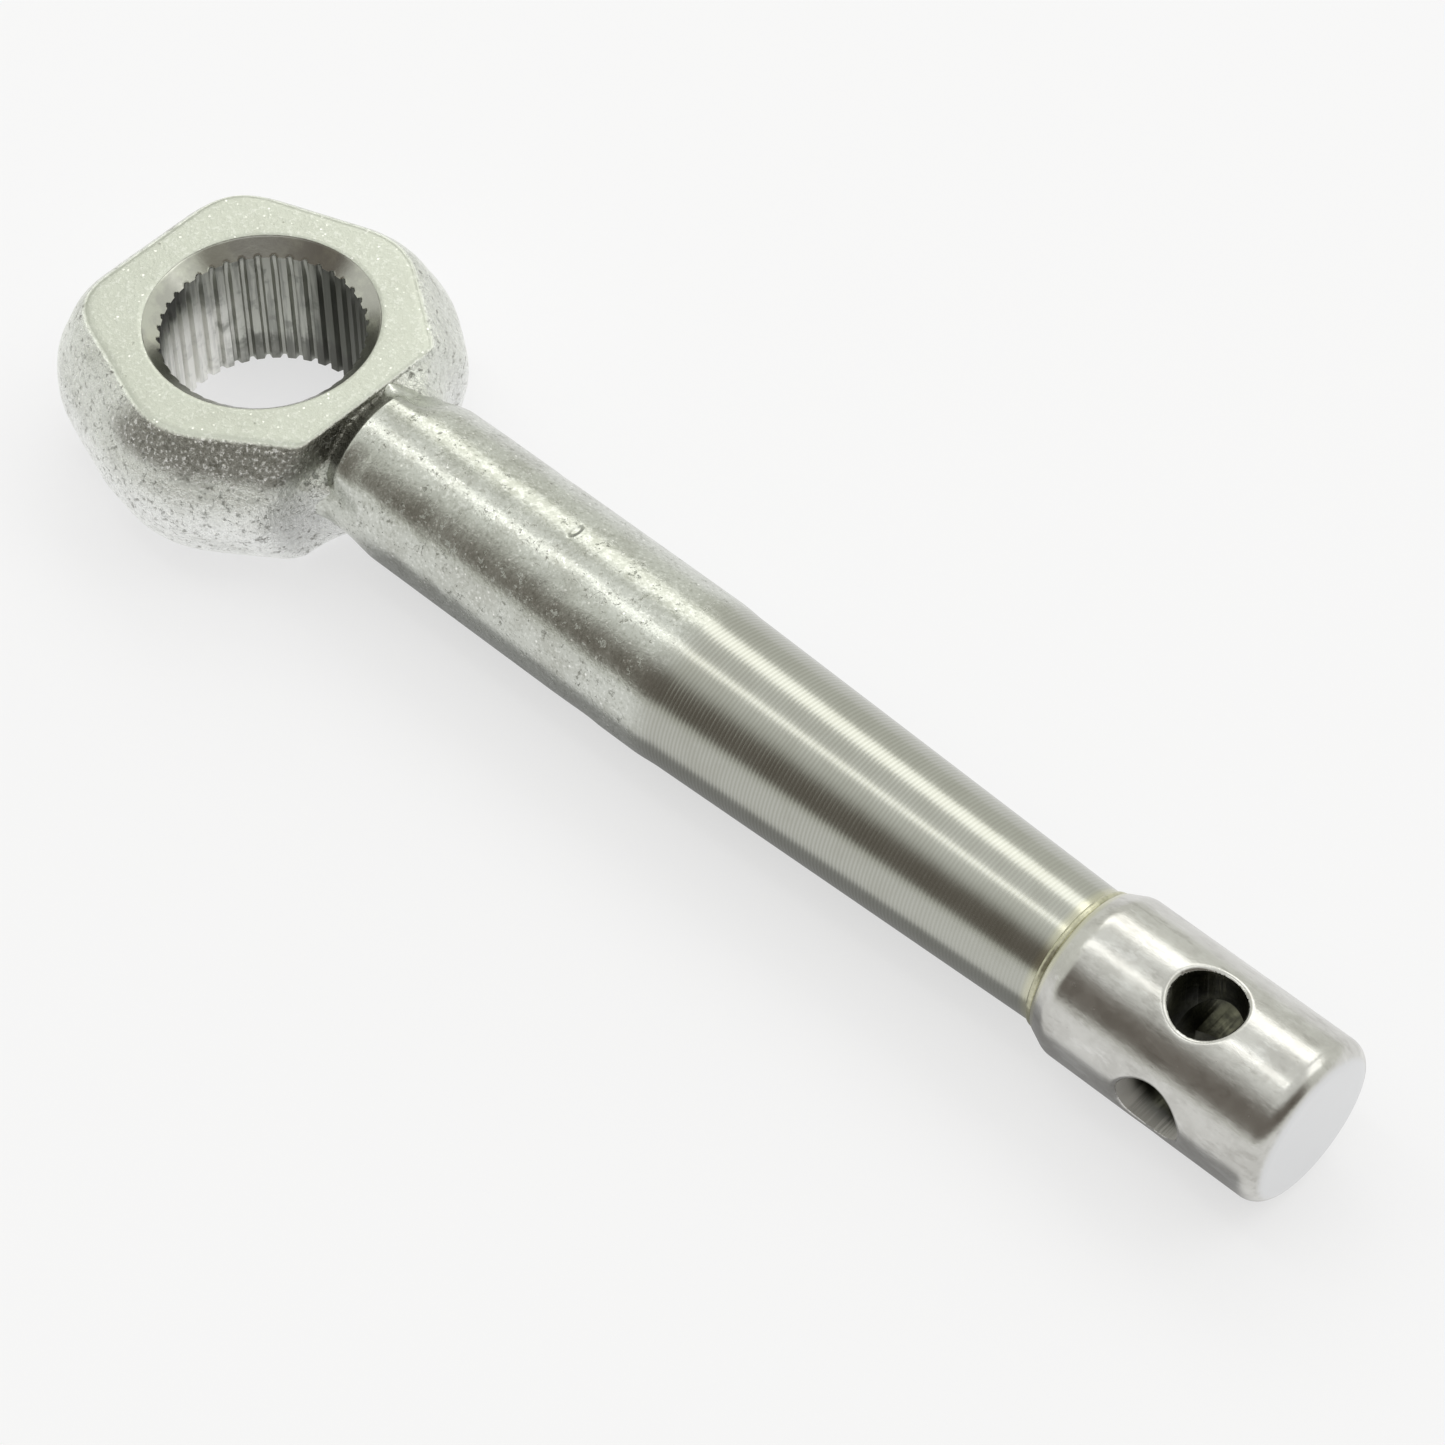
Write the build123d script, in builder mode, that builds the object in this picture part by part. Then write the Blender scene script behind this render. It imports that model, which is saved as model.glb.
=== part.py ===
"""String winder: a forged eye arm with a serrated bore and a cross-drilled winding head.

The origin is on the bore's axis, level with the shank's axis. +Z runs up the bore and +X along the shank to
the head. All sizes are in millimetres.
"""

import os
from math import cos, radians, sin

from build123d import *

# ---- driving dimensions: eye ----
EYE_TOP = 5.3  # machined top face, above the shank's axis
EYE_BOTTOM = -6.2  # lower face, level with the shank's underside
EYE_NEAR = 10.6  # bore axis to the flat that faces the shank, which stays upright
EYE_NEAR_SLANT = 11.2  # to the two flats beside it
EYE_FAR_SLANT = 10.9  # to the two flats further back
EYE_FAR = 11.1  # to the flat at the far end
NEAR_SLANT_ANGLE = 55.0  # directions of the slanted flats, from +X
FAR_SLANT_ANGLE = 110.0
EYE_BULGE = 2.9  # how far the other flanks swell beyond the top face
# Corner roundings seen from above: at the top face, then where the flank swells most.
NEAR_CORNER_R = (1.2, 3.0)
SIDE_CORNER_R = (6.0, 11.0)
FAR_CORNER_R = (4.0, 9.0)
RIM_BREAK = 0.25  # broken edge round the top face
FOOT_BREAK = 0.6  # wider break round the lower face

# ---- driving dimensions: serrated bore ----
BORE_TIP_R = 7.2  # over the serration tips
SERRATIONS = 40
SERRATION_DEPTH = 0.5
GROOVE_OPENING = 0.6  # width of a groove at the tips
GROOVE_FLOOR = 0.2  # width of its flat floor
MOUTH_R = 8.35  # outer edge of the 45 degree countersink

# ---- driving dimensions: shank ----
SHANK_R = 6.12  # forged length
ROOT_X = 10.0  # where the shank starts inside the eye's wall
ROOT_R = 4.0
SHOULDER_X = 12.4  # crisp edge where it comes up to its full thickness
ROOT_FILLET = 0.8  # forged radius where the shank leaves the eye
FORGED_END_X = 40.5
TURNED_X = 43.0  # start of the lathe-turned taper
TURNED_R = 5.98
NECK_X = 74.4  # shoulder at the end of the taper
NECK_R = 4.98
SPIGOT_R = 3.5
SPIGOT_CHAMFER = 0.5

# ---- driving dimensions: braze ring and winding head ----
RING_THICKNESS = 0.5
RING_STANDOFF = 0.22  # how far the ring stands out of the neck
RING_BEVEL = 0.1  # the braze thins out towards its two edges
HEAD_R = 6.0
HEAD_LENGTH = 18.6
HEAD_BACK_R = 5.3
HEAD_CONE = 1.5  # length of the coned back
HEAD_SHOULDER_ROUND = 1.2  # where the cone meets the barrel
HEAD_END_ROUND = 1.4
CROSS_HOLE_R = 2.5
CROSS_HOLE_FROM_END = 8.7  # hole axes, back from the head's end face
CROSS_HOLE_BREAK = 0.3  # broken edge of each hole
HEAD_CLOCKING = 4.8  # turn of the hole pair about the shank, away from the bore's axis

# ---- fits ----
BRAZE_GAP = 0.05  # radial, spigot to socket and to ring
SOCKET_RELIEF = 0.5  # room beyond the spigot's end
SOCKET_WALL = 0.9  # left between the socket and the cross holes
CUT_OVERRUN = 1.0  # how far cutting tools run past a face

# ---- worked out from the above ----
HEAD_BACK = NECK_X + RING_THICKNESS
HEAD_END = HEAD_BACK + HEAD_LENGTH
CROSS_HOLE_X = HEAD_END - CROSS_HOLE_FROM_END
RING_R = NECK_R + RING_STANDOFF
EYE_HEIGHT = EYE_TOP - EYE_BOTTOM
SOCKET_END = CROSS_HOLE_X - CROSS_HOLE_R - SOCKET_WALL
SPIGOT_END = SOCKET_END - SOCKET_RELIEF

# Cross-sections of the forged eye: height above the lower face as a share of the eye's height, and how far
# the flank has swollen there as a share of the full bulge.
EYE_SECTIONS = ((0.0, 0.15), (0.24, 0.75), (0.5, 1.0), (0.76, 0.68), (1.0, 0.0))


def meet(flat, other):
    """Corner where two flats cross, each given as (direction in degrees, distance from the bore's axis)."""
    (a, p), (b, q) = (radians(flat[0]), flat[1]), (radians(other[0]), other[1])
    span = sin(b - a)
    return (p * sin(b) - q * sin(a)) / span, (q * cos(a) - p * cos(b)) / span


def eye_outline(share):
    """Six-sided outline of the eye where its flank has swollen by this share of the full bulge."""
    swell = share * EYE_BULGE
    near = (0, EYE_NEAR)
    slant = (NEAR_SLANT_ANGLE, EYE_NEAR_SLANT + swell)
    far_slant = (FAR_SLANT_ANGLE, EYE_FAR_SLANT + swell)
    far = (180, EYE_FAR + swell)
    half = (
        (meet(near, slant), NEAR_CORNER_R),
        (meet(slant, far_slant), SIDE_CORNER_R),
        (meet(far_slant, far), FAR_CORNER_R),
    )
    corners = half + tuple(((x, -y), radii) for (x, y), radii in reversed(half))
    with BuildSketch() as outline:
        with BuildLine():
            Polyline(*[point for point, _ in corners], close=True)
        make_face()
        for point, (top_radius, swollen_radius) in corners:
            corner = outline.vertices().sort_by_distance(point)[0]
            fillet(corner, top_radius + share * (swollen_radius - top_radius))
    return outline.sketch


# ---- eye arm: one forging from the eye to the hidden spigot ----
with BuildPart() as eye_arm:
    for level, share in EYE_SECTIONS:
        with BuildSketch(Plane.XY.offset(EYE_BOTTOM + level * EYE_HEIGHT)):
            add(eye_outline(share))
    loft()
    top_rim = eye_arm.faces().sort_by(Axis.Z)[-1].edges()
    chamfer(top_rim, RIM_BREAK)
    foot_rim = eye_arm.faces().sort_by(Axis.Z)[0].edges()
    chamfer(foot_rim, FOOT_BREAK)

    # Shank, turned taper and spigot as one profile spun about the shank's axis.
    with BuildSketch(Plane.XZ):
        with BuildLine():
            Polyline(
                (ROOT_X, 0),
                (ROOT_X, ROOT_R),
                (SHOULDER_X, SHANK_R),
                (FORGED_END_X, SHANK_R),
                (TURNED_X, TURNED_R),
                (NECK_X, NECK_R),
                (NECK_X, SPIGOT_R),
                (SPIGOT_END - SPIGOT_CHAMFER, SPIGOT_R),
                (SPIGOT_END, SPIGOT_R - SPIGOT_CHAMFER),
                (SPIGOT_END, 0),
                close=True,
            )
        make_face()
    revolve(axis=Axis.X)
    # The crease round the shank is the longest edge that lies wholly in the upright flat.
    upright_edges = eye_arm.edges().filter_by_position(Axis.X, EYE_NEAR - 0.01, EYE_NEAR + 0.01)
    fillet(upright_edges.sort_by(SortBy.LENGTH)[-1], ROOT_FILLET)

    # Bore with its countersunk mouth, then the broached serrations.
    with BuildSketch(Plane.XZ):
        with BuildLine():
            Polyline(
                (0, EYE_BOTTOM - CUT_OVERRUN),
                (BORE_TIP_R, EYE_BOTTOM - CUT_OVERRUN),
                (BORE_TIP_R, EYE_TOP - (MOUTH_R - BORE_TIP_R)),
                (MOUTH_R + CUT_OVERRUN, EYE_TOP + CUT_OVERRUN),
                (0, EYE_TOP + CUT_OVERRUN),
                close=True,
            )
        make_face()
    revolve(axis=Axis.Z, mode=Mode.SUBTRACT)
    with BuildSketch(Plane.XY.offset(EYE_BOTTOM - CUT_OVERRUN)):
        with PolarLocations(BORE_TIP_R, SERRATIONS):
            Polygon(
                (-SERRATION_DEPTH, -GROOVE_OPENING / 2),
                (0, -GROOVE_OPENING / 2),
                (SERRATION_DEPTH, -GROOVE_FLOOR / 2),
                (SERRATION_DEPTH, GROOVE_FLOOR / 2),
                (0, GROOVE_OPENING / 2),
                (-SERRATION_DEPTH, GROOVE_OPENING / 2),
                align=None,
            )
    extrude(amount=EYE_HEIGHT + 2 * CUT_OVERRUN, mode=Mode.SUBTRACT)

# ---- braze ring: fills the corner between the neck and the head ----
with BuildPart() as braze_ring:
    with BuildSketch(Plane.XZ):
        with BuildLine():
            Polyline(
                (NECK_X, SPIGOT_R + BRAZE_GAP),
                (NECK_X, RING_R - RING_BEVEL),
                (NECK_X + RING_BEVEL, RING_R),
                (HEAD_BACK - RING_BEVEL, RING_R),
                (HEAD_BACK, RING_R - RING_BEVEL),
                (HEAD_BACK, SPIGOT_R + BRAZE_GAP),
                close=True,
            )
        make_face()
    revolve(axis=Axis.X)

# ---- winding head: turned barrel with a blind socket and two crossing holes ----
with BuildPart() as winding_head:
    with BuildSketch(Plane.XZ) as head_profile:
        with BuildLine():
            Polyline(
                (SOCKET_END, 0),
                (SOCKET_END, SPIGOT_R + BRAZE_GAP),
                (HEAD_BACK, SPIGOT_R + BRAZE_GAP),
                (HEAD_BACK, HEAD_BACK_R),
                (HEAD_BACK + HEAD_CONE, HEAD_R),
                (HEAD_END, HEAD_R),
                (HEAD_END, 0),
                close=True,
            )
        make_face()
        for corner, radius in (
            ((HEAD_END, HEAD_R), HEAD_END_ROUND),
            ((HEAD_BACK + HEAD_CONE, HEAD_R), HEAD_SHOULDER_ROUND),
        ):
            fillet(head_profile.vertices().sort_by_distance(corner)[0], radius)
    revolve(axis=Axis.X)
    hole_frame = Plane.XY.move(Location((CROSS_HOLE_X, 0, 0), (HEAD_CLOCKING, 0, 0)))
    for turn in (0, 90):
        with BuildSketch(hole_frame.rotated((turn, 0, 0))):
            Circle(CROSS_HOLE_R)
        extrude(amount=HEAD_R + CUT_OVERRUN, both=True, mode=Mode.SUBTRACT)
        chamfer(winding_head.edges(Select.NEW).filter_by(GeomType.BSPLINE), CROSS_HOLE_BREAK)

eye_arm.part.label = "eye_arm"
braze_ring.part.label = "braze_ring"
winding_head.part.label = "winding_head"

os.makedirs("parts", exist_ok=True)
export_step(eye_arm.part, "parts/eye_arm.step")
export_step(braze_ring.part, "parts/braze_ring.step")
export_step(winding_head.part, "parts/winding_head.step")
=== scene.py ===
"""String winder: forged eye arm, braze ring and cross-drilled winding head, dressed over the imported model.

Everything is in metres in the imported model's frame: the origin is on the bore's axis, level with the shank's axis,
+Z runs up the bore and +X runs along the shank to the head.
"""

import logging
from dataclasses import dataclass, field
from enum import Enum
from math import cos, hypot, pi, radians, sin, sqrt
from typing import Callable, NamedTuple, Sequence

import bpy
from mathutils import Matrix, Vector

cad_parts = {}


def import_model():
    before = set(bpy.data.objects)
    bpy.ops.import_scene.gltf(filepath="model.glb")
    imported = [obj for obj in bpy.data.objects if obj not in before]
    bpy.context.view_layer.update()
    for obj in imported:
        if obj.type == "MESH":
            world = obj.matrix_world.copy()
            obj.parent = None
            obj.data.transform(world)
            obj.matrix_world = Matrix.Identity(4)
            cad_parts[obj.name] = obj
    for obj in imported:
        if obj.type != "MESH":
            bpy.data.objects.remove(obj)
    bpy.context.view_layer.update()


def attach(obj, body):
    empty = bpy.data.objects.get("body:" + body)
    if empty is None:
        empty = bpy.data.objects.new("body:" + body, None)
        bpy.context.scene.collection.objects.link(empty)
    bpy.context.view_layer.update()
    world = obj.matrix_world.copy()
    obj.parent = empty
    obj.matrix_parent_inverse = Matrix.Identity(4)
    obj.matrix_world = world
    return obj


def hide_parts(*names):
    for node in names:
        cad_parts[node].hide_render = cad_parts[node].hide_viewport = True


LOG = logging.getLogger("string_winder")
MM = 0.001

Number = "Field | float"
Colour = tuple[float, float, float]
Station = tuple[float, float, float]


# ---- Node trees ----


class Field:
    """One value in a node tree, with arithmetic that adds the nodes for it."""

    def __init__(self, socket: bpy.types.NodeSocket) -> None:
        """Wraps an output socket."""
        self.socket = socket

    @property
    def tree(self) -> bpy.types.NodeTree:
        """The tree that the socket belongs to."""
        return self.socket.id_data

    def maths(self, operation: str, *others: Number) -> "Field":
        """Result of one of Blender's maths operations on this value and the others."""
        return add_node(self.tree, "ShaderNodeMath", dict(enumerate((self, *others))), operation=operation)

    def __add__(self, other: Number) -> "Field":
        """Sum."""
        return self.maths("ADD", other)

    def __sub__(self, other: Number) -> "Field":
        """Difference."""
        return self.maths("SUBTRACT", other)

    def __rsub__(self, other: float) -> "Field":
        """Difference from a plain number."""
        return (self * -1.0) + other

    def __mul__(self, other: Number) -> "Field":
        """Product."""
        return self.maths("MULTIPLY", other)

    def __truediv__(self, other: Number) -> "Field":
        """Quotient."""
        return self.maths("DIVIDE", other)

    def __pow__(self, other: Number) -> "Field":
        """Power."""
        return self.maths("POWER", other)

    __radd__ = __add__
    __rmul__ = __mul__

    def sine(self) -> "Field":
        """Sine of an angle in radians."""
        return self.maths("SINE")

    def cosine(self) -> "Field":
        """Cosine of an angle in radians."""
        return self.maths("COSINE")

    def size(self) -> "Field":
        """Absolute value."""
        return self.maths("ABSOLUTE")

    def root(self) -> "Field":
        """Square root, nought below nought."""
        return self.maths("MAXIMUM", 0.0).maths("SQRT")

    def least(self, other: Number) -> "Field":
        """The smaller of two values."""
        return self.maths("MINIMUM", other)

    def most(self, other: Number) -> "Field":
        """The larger of two values."""
        return self.maths("MAXIMUM", other)

    def soft_least(self, other: Number, blend: Number) -> "Field":
        """The smaller of two values, rounded over where they cross."""
        return self.maths("SMOOTH_MIN", other, blend)

    def step(self, low: Number, high: Number) -> "Field":
        """Smooth step from 0 at the low value to 1 at the high one."""
        ports = {"Value": self, "From Min": low, "From Max": high}
        return add_node(self.tree, "ShaderNodeMapRange", ports, interpolation_type="SMOOTHSTEP")


def plug(value: "Field | float | Sequence[float]", port: bpy.types.NodeSocket) -> None:
    """Joins a field to an input socket, or sets the socket to a plain value.

    Args:
        value: the field or the plain value.
        port: the input socket.
    """
    if isinstance(value, Field):
        value.tree.links.new(value.socket, port)
    else:
        port.default_value = value


def add_node(
    tree: bpy.types.NodeTree, kind: str, ports: dict[int | str, Number], out: int | str = 0, **settings: object
) -> Field:
    """Adds a node to a tree.

    Args:
        tree: the tree.
        kind: Blender's name of the node.
        ports: a field or a plain value for each input, by its name or number.
        out: name or number of the output wanted.
        settings: plain properties of the node.

    Returns:
        The output wanted.
    """
    node = tree.nodes.new(kind)
    for key, value in settings.items():
        setattr(node, key, value)
    for port, value in ports.items():
        plug(value, node.inputs[port])
    return Field(node.outputs[out])


def blend(start: Number, end: Number, share: Field) -> Field:
    """Straight blend from start, where share is 0, to end, where it is 1."""
    return add_node(share.tree, "ShaderNodeMix", {0: share, 2: start, 3: end})


def tint(start: "Field | Colour", end: "Field | Colour", share: Field) -> Field:
    """Blend of two colours, each a field or three linear values."""
    start, end = (colour if isinstance(colour, Field) else (*colour, 1.0) for colour in (start, end))
    return add_node(share.tree, "ShaderNodeMix", {0: share, 6: start, 7: end}, out=2, data_type="RGBA")


def coated(base: "Field | Colour", *coats: tuple["Field | Colour", Field]) -> Field:
    """Lays coats of colour over a base.

    Args:
        base: colour underneath.
        coats: colour of each coat and the share of the surface that it covers, in order.

    Returns:
        The colour on top.
    """
    for colour, share in coats:
        base = tint(base, colour, share)
    return base


def axes_of(vector: Field) -> tuple[Field, Field, Field]:
    """The three parts of a vector field."""
    parts = add_node(vector.tree, "ShaderNodeSeparateXYZ", {0: vector}).socket.node.outputs
    return Field(parts[0]), Field(parts[1]), Field(parts[2])


def vector_of(x: Number, y: Number, z: Number, tree: bpy.types.NodeTree) -> Field:
    """A vector field from three parts."""
    return add_node(tree, "ShaderNodeCombineXYZ", {0: x, 1: y, 2: z})


def noise(at: Field, lump_mm: float, detail: float, rough: float, seed: Number) -> Field:
    """Smooth noise about 0.5.

    Args:
        at: place in metres.
        lump_mm: size of a lump.
        detail: finer octaves on top of the first.
        rough: strength of each octave beside the one before.
        seed: fourth coordinate, which picks the pattern.

    Returns:
        The noise.
    """
    ports = {"Vector": at, "W": seed, "Scale": 1.0 / (lump_mm * MM), "Detail": detail, "Roughness": rough}
    return add_node(at.tree, "ShaderNodeTexNoise", ports, noise_dimensions="4D")


def grains(at: Field, grain_mm: float) -> tuple[Field, Field]:
    """Cells of a crystal grain.

    Args:
        at: place in metres.
        grain_mm: width of a grain.

    Returns:
        Distance from the nearest grain's middle in grain widths, and a random number for each grain.
    """
    ports = {"Vector": at, "W": 0.0, "Scale": 1.0 / (grain_mm * MM)}
    spread = add_node(at.tree, "ShaderNodeTexVoronoi", ports, out="Distance", voronoi_dimensions="4D")
    return spread, axes_of(Field(spread.socket.node.outputs["Color"]))[0]


def place_in_scene(name: str, data: bpy.types.ID) -> bpy.types.Object:
    """Makes an object of a mesh, a lamp or a camera.

    Args:
        name: name of the object.
        data: what the object shows.

    Returns:
        The object, at the origin.
    """
    thing = bpy.data.objects.new(name, data)
    bpy.context.scene.collection.objects.link(thing)
    return thing


class ShapeRule:
    """A Geometry Nodes tree that turns a strip of stations into a finished closed piece."""

    def __init__(self, name: str, sizes: dict[str, float], counts: dict[str, int]) -> None:
        """Starts the tree.

        Args:
            name: name of the tree.
            sizes: named lengths and amounts, with their values.
            counts: named whole numbers, with their values. "Columns" is the number of points round the piece.
        """
        self.tree = bpy.data.node_groups.new(name, "GeometryNodeTree")
        self.values: dict[str, float] = {}
        face = self.tree.interface
        face.new_socket("Stations", in_out="INPUT", socket_type="NodeSocketGeometry")
        for kind, named in (("NodeSocketFloat", sizes), ("NodeSocketInt", counts)):
            for label, value in named.items():
                self.values[face.new_socket(label, in_out="INPUT", socket_type=kind).identifier] = value
        self.finish_port = face.new_socket("Finish", in_out="INPUT", socket_type="NodeSocketMaterial").identifier
        face.new_socket("Piece", in_out="OUTPUT", socket_type="NodeSocketGeometry")
        self.entry = self.tree.nodes.new("NodeGroupInput")
        self.exit = self.tree.nodes.new("NodeGroupOutput")

    def add(self, kind: str, ports: dict[int | str, Number], out: int | str = 0, **settings: object) -> Field:
        """Adds a node to the tree, as add_node does."""
        return add_node(self.tree, kind, ports, out, **settings)

    def size(self, label: str) -> Field:
        """The named input as a field."""
        return Field(self.entry.outputs[label])

    def sheet(self, rows: int) -> tuple[Field, Field, Field]:
        """Makes a flat grid and reads one station for each of its rows.

        Args:
            rows: number of stations along the profile.

        Returns:
            The grid, the turn of each point round the piece in radians, and its station as a vector.
        """
        ports = {"Size X": 1.0, "Size Y": 1.0, "Vertices X": self.size("Columns"), "Vertices Y": rows}
        grid = self.add("GeometryNodeMeshGrid", ports, out="Mesh")
        place = self.add("GeometryNodeInputPosition", {})
        across, along, _ = axes_of(place)
        row = ((along + 0.5) * float(rows - 1)).maths("ROUND")
        ports = {"Geometry": self.size("Stations"), "Value": place, "Index": row}
        station = self.add("GeometryNodeSampleIndex", ports, data_type="FLOAT_VECTOR", domain="POINT")
        return grid, (across + 0.5) * (2.0 * pi), station

    def place(self, mesh: Field, position: Field) -> Field:
        """Moves every point of a mesh to the position given."""
        return self.add("GeometryNodeSetPosition", {"Geometry": mesh, "Position": position})

    def spin(self, mesh: Field, along: Field, radius: Field, turn: Field) -> Field:
        """Bends the sheet round the shank's axis, faces outwards."""
        round_axis = vector_of(along, radius * turn.cosine(), radius * turn.sine(), self.tree)
        return self.flip(self.place(mesh, round_axis))

    def weld(self, mesh: Field, gap: float = 0.000002) -> Field:
        """Merges points that lie on each other, which closes the seam and the poles."""
        return self.add("GeometryNodeMergeByDistance", {"Geometry": mesh, "Distance": gap})

    def flip(self, mesh: Field) -> Field:
        """Turns every face over."""
        return self.add("GeometryNodeFlipFaces", {"Mesh": mesh})

    def close(self, mesh: Field, crease_deg: float = 38.0) -> None:
        """Smooths the shading up to the crease angle, then ends the tree.

        Args:
            mesh: the finished mesh.
            crease_deg: edges that bend more than this stay sharp.
        """
        crease = self.add("GeometryNodeInputMeshEdgeAngle", {}).maths("GREATER_THAN", radians(crease_deg))
        smooth = self.add("GeometryNodeSetShadeSmooth", {0: mesh}, domain="FACE")
        creased = self.add("GeometryNodeSetShadeSmooth", {0: smooth, 1: crease, 2: False}, domain="EDGE")
        real = self.add("GeometryNodeRealizeInstances", {0: creased})
        ports = {"Geometry": real, "Material": self.size("Finish")}
        plug(self.add("GeometryNodeSetMaterial", ports), self.exit.inputs[0])

    def build(self, name: str, stations: Sequence[Station], finish: bpy.types.Material) -> bpy.types.Object:
        """Runs the tree on a strip of stations.

        Args:
            name: name of the finished piece.
            stations: one point for each row of the grid.
            finish: material of the piece.

        Returns:
            The finished piece, a plain mesh with no modifier.
        """
        strip = bpy.data.meshes.new(name + "_stations")
        strip.from_pydata(stations, [], [])
        piece = place_in_scene(name, strip)
        rule = piece.modifiers.new("rule", "NODES")
        rule.node_group = self.tree
        for port, value in self.values.items():
            rule[port] = value
        rule[self.finish_port] = finish
        graph = bpy.context.evaluated_depsgraph_get()
        solid = bpy.data.meshes.new_from_object(piece.evaluated_get(graph))
        piece.modifiers.remove(rule)
        solid.name = name
        piece.data = solid
        bpy.data.meshes.remove(strip)
        return piece


# ---- Finishes ----


class Surface(NamedTuple):
    """What a finish is like at each place."""

    colour: Field
    roughness: Field
    height: Field


@dataclass(frozen=True)
class MetalFinish:
    """A bare or plated metal surface.

    Args:
        name: name of the material.
        colour: linear colour of the plain metal.
        roughness: blur of its reflections where it is smoothest, 0 to 1.
        relief_mm: depth of its finest marks.
    """

    name: str
    colour: Colour
    roughness: float
    relief_mm: float

    def surface(self, at: Field) -> Surface:
        """Colour, roughness and height at each place, which every finish works out for itself."""
        raise NotImplementedError

    def make(self) -> bpy.types.Material:
        """Makes the material.

        Returns:
            The material.
        """
        material = bpy.data.materials.new(self.name)
        material.use_nodes = True
        tree = material.node_tree
        shader = tree.nodes["Principled BSDF"]
        # The plain colour is for viewers that don't run the nodes.
        shader.inputs["Base Color"].default_value = (*self.colour, 1.0)
        surface = self.surface(add_node(tree, "ShaderNodeTexCoord", {}, out="Object"))
        ports = {"Strength": 1.0, "Distance": self.relief_mm * MM, "Height": surface.height}
        relief = add_node(tree, "ShaderNodeBump", ports)
        plug(1.0, shader.inputs["Metallic"])
        plug(surface.colour, shader.inputs["Base Color"])
        plug(surface.roughness, shader.inputs["Roughness"])
        plug(relief, shader.inputs["Normal"])
        return material


@dataclass(frozen=True)
class ForgedPlate(MetalFinish):
    """Bright plating over the eye's forged skin: crystal sparkle, pits, mottling and a satin top face."""

    name: str = "forged_plate"
    colour: Colour = (0.80, 0.82, 0.76)
    roughness: float = 0.24
    relief_mm: float = 0.12
    top_mm: float = 5.3
    flat_mm: float = 10.6
    mouth_mm: float = 8.35
    slant_deg: float = -55.0

    def surface(self, at: Field) -> Surface:
        """Finish of the eye.

        Args:
            at: place in metres.

        Returns:
            Colour, roughness and height there.
        """
        x, y, z = axes_of(at)
        sink = 1.0 - (x * x + y * y).root().step((self.mouth_mm - 0.07) * MM, (self.mouth_mm + 0.01) * MM)
        top = z.step((self.top_mm - 0.22) * MM, (self.top_mm - 0.05) * MM)
        skinned = (1.0 - top) * (1.0 - sink)
        spread, pick = grains(at, 0.28)
        cloud = noise(at, 3.0, 5.0, 0.62, 1.0)
        skin = noise(at, 0.50, 4.0, 0.72, 2.0)
        grit = noise(at, 0.30, 3.0, 0.70, 18.0)
        pits = noise(at, 0.50, 5.0, 0.76, 3.0).step(0.45, 0.34) * skinned
        specks = noise(at, 0.8, 2.0, 0.5, 17.0).step(0.30, 0.24)
        glints = pick.step(0.88, 0.94) * (1.0 - spread.step(0.24, 0.44)) * (1.0 - sink)

        # Painted dark reflection: a darker belt under the top face on the near slanted side, with a ragged lower
        # edge.
        aside = x * cos(radians(self.slant_deg)) + y * sin(radians(self.slant_deg))
        ragged = z + (cloud - 0.5) * (3.5 * MM) + (grit - 0.5) * (2.5 * MM)
        shade_belt = ragged.step(2.3 * MM, 3.7 * MM) * skinned * aside.step(7.6 * MM, 10.6 * MM)
        # Painted light: the lower flank is painted paler, standing in for the bright paper that it mirrors.
        low = (1.0 - ragged.step(-1.5 * MM, 3.2 * MM)) * skinned
        # Painted shade in the corner under the top face, where the upright flat meets the shank.
        flat = x.step((self.flat_mm - 0.40) * MM, (self.flat_mm - 0.12) * MM) * skinned
        slope = ragged + y * 0.9
        corner = flat * slope.step(-2.2 * MM, -0.8 * MM) * (1.0 - y.step(1.5 * MM, 4.0 * MM))

        cut = tint((0.61, 0.62, 0.55), (0.50, 0.50, 0.46), cloud.step(0.56, 0.40))
        shade = coated(
            self.colour,
            ((0.525, 0.545, 0.475), top),
            ((0.96, 0.97, 0.95), low * 0.85),
            ((0.40, 0.41, 0.35), cloud.step(0.54, 0.32) * blend(0.34, 0.24, top)),
            # Painted shade of the belt. The grit specks are strongest in it, and the bright ones there are painted
            # glints.
            ((0.22, 0.21, 0.18), shade_belt * 0.82),
            ((0.16, 0.155, 0.13), grit.step(0.47, 0.38) * skinned * blend(0.16, 0.60, shade_belt)),
            ((0.96, 0.96, 0.93), grit.step(0.53, 0.62) * blend(blend(0.35, 0.75, shade_belt), 0.20, top)),
            ((0.14, 0.13, 0.10), pits * 0.65),
            ((0.30, 0.31, 0.25), specks * top * 0.5),
            ((0.98, 0.98, 0.92), glints * blend(0.85, 0.60, top)),
            # Painted shade in the corner, with painted glints over it.
            ((0.33, 0.325, 0.285), corner * 0.80),
            ((0.95, 0.97, 0.90), corner * (glints * 0.7 + grit.step(0.55, 0.64) * 0.45)),
            (cut, sink),
        )
        rough = blend(self.roughness, 0.36, top) + cloud * 0.06 + pits * 0.15 - glints * 0.12
        forged = skin * 1.4 + grit * 1.1 + pick * 0.3 - pits * 0.8
        satin = grit * 0.22 + skin * 0.16 + pick * 0.07 - specks * 0.25
        height = blend(blend(forged, satin, top), cloud * 0.10 + skin * 0.05, sink)
        return Surface(shade, blend(rough, 0.20, sink), height)


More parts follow.
